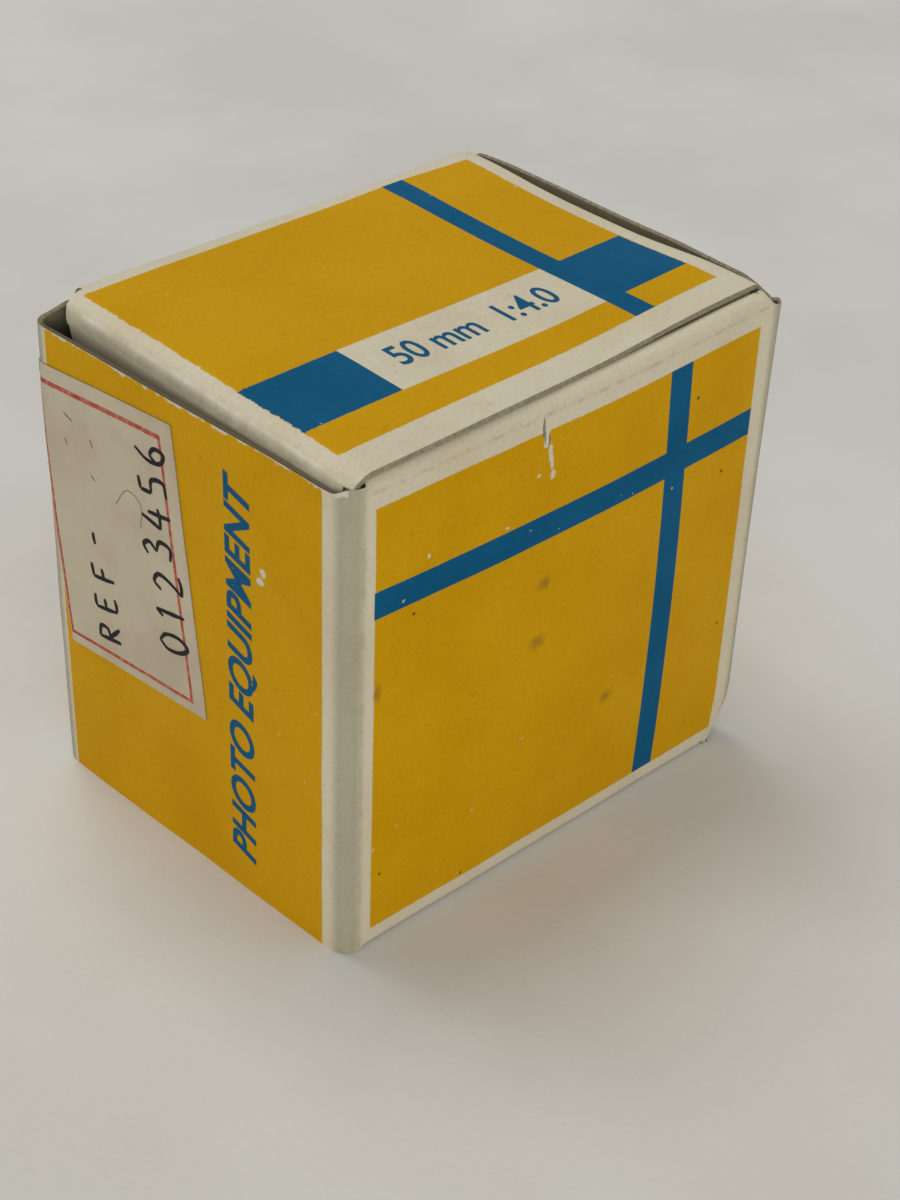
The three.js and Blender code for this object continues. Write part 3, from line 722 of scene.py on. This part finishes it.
points, uvs = [], []
for i in range(31):
    x = -LID_HALF + 2 * LID_HALF * i / 30
    rows = [(LID_FRONT + (HALF_D - FOLD - LID_FRONT) * j / 20, 0.0) for j in range(21)]
    for turned in (20, 40, 60, 80):
        b = math.radians(turned)
        rows.append((HALF_D - FOLD + 0.2 + LOW_FOLD * math.sin(b), LOW_FOLD * (1 - math.cos(b))))
    points.append([(x - RACK * y, y, z) for y, z in rows])
    uvs.append([(x, y + z) for y, z in rows])
bottom = sheet("bottom", points, uvs, [COATED, BACK, CUT], flip=True)
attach(bottom, "carton")
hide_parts("bottom_panel")


def ear_sheet(name, node, flip, outline, place):
    """An ear of board: outline(h) gives its two ends along Y at height h (0 to 1), place(y, h) the point."""
    points, uvs = [], []
    for i in range(25):
        col, cuv = [], []
        for j in range(13):
            h = j / 12
            front, back = outline(h)
            y = front + (back - front) * i / 24
            col.append(place(y, h))
            cuv.append((y, col[-1][2]))
        points.append(col)
        uvs.append(cuv)
    obj = sheet(name, points, uvs, [COATED, BACK, CUT], flip=flip)
    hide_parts(node)
    return obj


for side, word, roll in ((-1, "left", ROLL_LEFT), (1, "right", ROLL_RIGHT)):
    ear_top = LID_TOP - roll + 0.25

    def lid_ear_place(y, h):
        z = EAR_BOTTOM + (ear_top - EAR_BOTTOM) * h
        x = side * (LID_HALF - 0.02) + 0.12 * (1 - h) * noise.noise(Vector((y, z, side)) * 0.12)
        x, y, z = lid_shape(x, y, z)
        return x - (0.5 * (1 - h) if side > 0 else 0.0), y, z

    def lid_ear_outline(h):
        front = (-21.3 if side < 0 else -17.0) + 12 * (1 - h) ** 1.3
        return front, 21.1 - 4.5 * (1 - h)

    ear = ear_sheet(f"ear_{word}", f"lid_{word}_ear", side < 0, lid_ear_outline, lid_ear_place)
    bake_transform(ear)

    def low_ear_place(y, h):
        return side * 28.95 - RACK * y, y, 0.8 + 13.2 * h

    def low_ear_outline(h):
        return -16.6 + 9 * h ** 1.4, 20 - 4 * h

    low_ear = ear_sheet(f"low_ear_{word}", f"bottom_{word}_ear", side < 0, low_ear_outline, low_ear_place)
    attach(low_ear, "carton")


def flap_sheet(name, node, top, body, faces_up):
    """A dust flap lying level at top; the one facing up bends away from the front fold. Only a flap whose
    body is the carton is attached to a body.
    """
    points, uvs = [], []
    shares = [0, 0.02, 0.04, 0.06, 0.09, 0.2, 0.36, 0.52, 0.68, 0.84, 1]
    for i in range(25):
        col, cuv = [], []
        for share in shares:
            y = FLAP_START + FLAP_LENGTH * share
            half = 27.0 - 2.5 * share - 1.2 * smooth(0.75, 1.0, share) ** 2
            x = half * (-1 + 2 * i / 24)
            rise = corner_rise(x, y) + 0.1 if faces_up else 0.0
            col.append((x - RACK * y, y, top + rise * (1 - share)))
            cuv.append((x, y))
        points.append(col)
        uvs.append(cuv)
    obj = sheet(name, points, uvs, [COATED, BACK, CUT], flip=not faces_up)
    if body == "carton":
        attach(obj, body)
    else:
        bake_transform(obj)
    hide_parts(node)


flap_sheet("dust_flap", "front_dust_flap", FOLD_TOP, "front_dust_flap", True)
flap_sheet("low_dust_flap", "bottom_dust_flap", LOW_FOLD, "carton", False)

# ---- label with its handwriting, lettering and marks on the walls

LABEL_CORNERS = {"sw": (-2.6, 19.9), "nw": (1.3, 54.1), "ne": (23.8, 52.4), "se": (20.05, 18.3)}
LABEL_LONG, LABEL_HIGH = 35.0, 22.7


def label_place(s, t, lift):
    """s runs up the carton along the label's writing, t from its front edge to its back edge."""
    a, b = s / LABEL_LONG, t / LABEL_HIGH
    c = LABEL_CORNERS
    y, z = (
        c["sw"][k] * (1 - a) * (1 - b) + c["nw"][k] * a * (1 - b)
        + c["ne"][k] * a * b + c["se"][k] * (1 - a) * b
        for k in (0, 1)
    )
    return wall_at(U_LEFT + HALF_D - y, z, lift)


uvs = [[(LABEL_LONG * i / 24, LABEL_HIGH * j / 20) for i in range(25)] for j in range(21)]
points = [[tuple(label_place(s, t, 0.14)) for s, t in row] for row in uvs]
label = sheet("label", points, uvs, [label_paper(), COATED, CUT], thick=0.11, flip=True)
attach(label, "carton")
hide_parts("stock_label")

# a scrap of the label's top back corner, torn and lifted
TEAR = [(33.4, 22.4), (34.9, 22.5), (34.6, 24.2), (34.9, 25.3), (34.1, 24.6), (33.9, 25.6), (33.6, 24.0)]
tear_verts = [tuple(label_place(s, t, 0.16 + 0.25 * max(0, t - 23))) for s, t in TEAR]
tear_faces = [[0, 1, 2], [0, 2, 6], [2, 3, 4], [2, 4, 6], [6, 4, 5]]
tear = make("label_tear", tear_verts, tear_faces, TEAR, [COATED], [0] * 5)
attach(tear, "carton")


def left_wall_place(s, t, lift):
    """s up the left wall, t from its front towards its back; t is measured from the tube's middle."""
    return wall_at(U_LEFT + HALF_D - t, s, lift)


def lid_place(s, t, lift):
    """s across the lid, t from its front edge to its back, both from its middle."""
    return Vector(lid_shape(s, t, LID_TOP + lift))


BLUE_INK = flat_ink("blue_ink", (0.003, 0.095, 0.215, 1))
lettering(
    "side_words", "PHOTO EQUIPMENT", left_wall_place, (4.4, -10.75), 48.2, 4.5, BLUE_INK, "carton",
    slant=0.32, weight=0.025, lift=0.03,
)
lettering(
    "lid_words", "50 mm  1:4.0", lid_place, (-10.6, -10.9), 22.0, 3.9, BLUE_INK, "lid",
    slant=0.0, weight=0.012, lift=0.03,
)

# generic penned marks: plain capitals and a run of plain digits
PEN = flat_ink("pen", INK, 0.5)
LETTERS = {
    "R": [
        [(0, 0), (0.02, 0.5), (0.03, 1)],
        [(0.03, 1), (0.5, 0.9), (0.45, 0.58), (0.04, 0.5)],
        [(0.12, 0.5), (0.35, 0.25), (0.6, 0.0)],
    ],
    "E": [
        [(0.55, 0.98), (0.25, 1.0), (0.02, 0.97)],
        [(0.02, 0.97), (0.0, 0.5), (0.02, 0.02)],
        [(0.02, 0.02), (0.3, 0.0), (0.58, 0.05)],
        [(0.03, 0.52), (0.25, 0.53), (0.45, 0.54)],
    ],
    "F": [
        [(0.58, 1.0), (0.3, 0.98), (0.02, 0.97)],
        [(0.02, 0.97), (0.0, 0.5), (0.02, 0.0)],
        [(0.02, 0.5), (0.25, 0.52), (0.45, 0.54)],
    ],
    "-": [[(0.1, 0.45), (0.35, 0.48), (0.6, 0.47)]],
    "0": [[(0.3, 1), (0.05, 0.75), (0.05, 0.3), (0.28, 0), (0.55, 0.3), (0.55, 0.75), (0.3, 1)]],
    "1": [[(0.15, 0.78), (0.35, 1.0)], [(0.35, 1.0), (0.32, 0.5), (0.3, 0)]],
    "2": [
        [(0.05, 0.78), (0.28, 1.0), (0.55, 0.8), (0.38, 0.42), (0.05, 0.03)],
        [(0.05, 0.03), (0.35, 0.02), (0.65, 0.08)],
    ],
    "3": [
        [(0.08, 0.88), (0.35, 1.0), (0.5, 0.78), (0.25, 0.55)],
        [(0.25, 0.55), (0.58, 0.4), (0.45, 0.05), (0.05, 0.08)],
    ],
    "4": [
        [(0.35, 1.0), (0.15, 0.6), (0.02, 0.35)],
        [(0.02, 0.35), (0.35, 0.34), (0.65, 0.38)],
        [(0.48, 0.75), (0.44, 0.35), (0.42, -0.05)],
    ],
    "5": [
        [(0.55, 0.98), (0.15, 0.95)],
        [(0.15, 0.95), (0.1, 0.58)],
        [(0.1, 0.58), (0.5, 0.52), (0.5, 0.12), (0.05, 0.04)],
    ],
    "6": [[(0.45, 1.0), (0.12, 0.6), (0.1, 0.15), (0.4, 0.0), (0.52, 0.3), (0.3, 0.48), (0.1, 0.3)]],
}


def handwriting(name, text, origin, pitch, height, lean):
    """Penned capitals and digits along the label, each a little uneven."""
    strokes = []
    for i, ch in enumerate(text):
        for stroke in LETTERS[ch]:
            pts = curve_through(stroke, 5)
            line = []
            for k, (x, y) in enumerate(pts):
                w = 0.75 + 0.35 * math.sin(math.pi * k / max(1, len(pts) - 1))
                w += 0.2 * noise.noise(Vector((i, k * 0.4, 3)))
                jitter = 0.25 * noise.noise(Vector((i * 3.1, 1, 7)))
                s = origin[0] + i * pitch + (x + y * lean) * height * 0.8
                line.append((s, origin[1] + (y + jitter) * height, w))
            strokes.append(line)
    ribbon(name, strokes, label_place, 0.5, PEN, "carton", 0.165)


handwriting("pen_word", "REF-", (3.4, 13.6), 3.9, 3.6, -0.15)
handwriting("pen_number", "0123456", (7.0, 1.7), 3.75, 4.6, -0.2)

PENCIL = flat_ink("pencil", (0.22, 0.19, 0.15, 1), 0.8)
dashes = [
    ((30.2, 18.0), (29.6, 16.7)), ((28.4, 13.9), (27.6, 13.7)),
    ((27.0, 18.5), (26.3, 18.2)), ((24.0, 14.6), (23.5, 14.1)),
]
strokes = [[(s, t, 0.5) for s, t in dash] for dash in dashes]
hook = [(22.0, 10.9), (24.4, 8.7), (23.4, 6.6), (20.6, 7.1)]
strokes.append([(s, t, 0.28) for s, t in curve_through(hook, 6)])
ribbon("pencil_marks", strokes, label_place, 0.34, PENCIL, "carton", 0.165)

# ---- inside parts that still show as their CAD shapes

LOOKS = {
    "plain_board": BACK,
    "insert_card": card("insert_card", (0.66, 0.63, 0.55, 1), (0.74, 0.72, 0.65, 1)),
    "corrugated_board": card("corrugated", (0.36, 0.24, 0.13, 1), (0.46, 0.32, 0.19, 1), 0.8),
    "leaflet_paper": card("leaflet", (0.80, 0.78, 0.72, 1), (0.86, 0.84, 0.79, 1), 0.9),
    "black_metal": metal("black_metal", (0.016, 0.016, 0.018, 1), 0.38, 0.3),
    "ring_metal": metal("ring_metal", (0.024, 0.024, 0.027, 1), 0.3, 0.4),
    "iris_metal": metal("iris_metal", (0.03, 0.03, 0.033, 1), 0.5, 0.6),
    "bright_steel": metal("bright_steel", (0.50, 0.50, 0.51, 1), 0.28, 1.0),
    "optical_glass": glass(),
    "cap_plastic": metal("cap_plastic", (0.014, 0.014, 0.015, 1), 0.5, 0.0, 1.0),
    "printed_board": COATED,
    "label_paper": COATED,
}
slot_of = {row["node"]: row["material_slot"] for row in frame["record"]["subparts"]}
for node, obj in frame["nodes"].items():
    obj.data.materials.clear()
    obj.data.materials.append(LOOKS[slot_of[node]])

# ---- room: pale floor, wide soft light, camera


def floor_look():
    n = Nodes("floor", roughness=0.95, specular=0.1)
    weave = n.noise(1.4, 3, 0.6, (1, 0.35, 1))
    n.colour(n.mix(n.remap(n.noise(0.02, 3), 0.3, 0.7), (0.70, 0.69, 0.66, 1), (0.76, 0.76, 0.74, 1)))
    n.bump(weave, 0.35, 0.15)
    return n.mat


mesh = bpy.data.meshes.new("floor")
edge = FLOOR_HALF
mesh.from_pydata([(-edge, -edge, 0), (edge, -edge, 0), (edge, edge, 0), (-edge, edge, 0)], [], [(0, 1, 2, 3)])
mesh.materials.append(floor_look())
floor = bpy.data.objects.new("floor", mesh)
bpy.context.scene.collection.objects.link(floor)

world = bpy.data.worlds.new("room")
world.use_nodes = True
world.node_tree.nodes["Background"].inputs["Color"].default_value = (1.0, 0.985, 0.95, 1)
world.node_tree.nodes["Background"].inputs["Strength"].default_value = SKY_STRENGTH
bpy.context.scene.world = world


def area(name, place, aim, size, power, colour):
    """A rectangular lamp at place, turned towards aim."""
    data = bpy.data.lights.new(name, "AREA")
    data.shape = "RECTANGLE"
    data.size, data.size_y = size
    data.energy = power
    data.color = colour
    obj = bpy.data.objects.new(name, data)
    obj.location = place
    obj.rotation_mode = "QUATERNION"
    obj.rotation_quaternion = (Vector(aim) - Vector(place)).to_track_quat("-Z", "Y")
    bpy.context.scene.collection.objects.link(obj)


area("window", (-0.58, -0.76, 0.26), (0, 0, 0.03), (0.7, 0.35), WINDOW_POWER, (1.0, 0.96, 0.88))
area("ceiling", (0.0, 0.34, 0.92), (0, 0, 0.02), (0.45, 0.45), CEILING_POWER, (1.0, 0.99, 0.96))

camera_data = bpy.data.cameras.new("camera")
camera_data.sensor_width = 36.0
camera_data.lens = CAMERA_LENS
camera_data.clip_start = 0.01
camera_data.clip_end = 10.0
camera = bpy.data.objects.new("camera", camera_data)
bpy.context.scene.collection.objects.link(camera)
turn = Matrix.Rotation(math.radians(CAMERA_HEADING), 4, "Z")
turn = turn @ Matrix.Rotation(math.radians(CAMERA_ROLL), 4, "Y")
turn = turn @ Matrix.Rotation(math.radians(CAMERA_TILT), 4, "X")
camera.matrix_world = Matrix.Translation(CAMERA_PLACE) @ turn
bpy.context.scene.camera = camera
bpy.context.scene.view_settings.view_transform = "Standard"
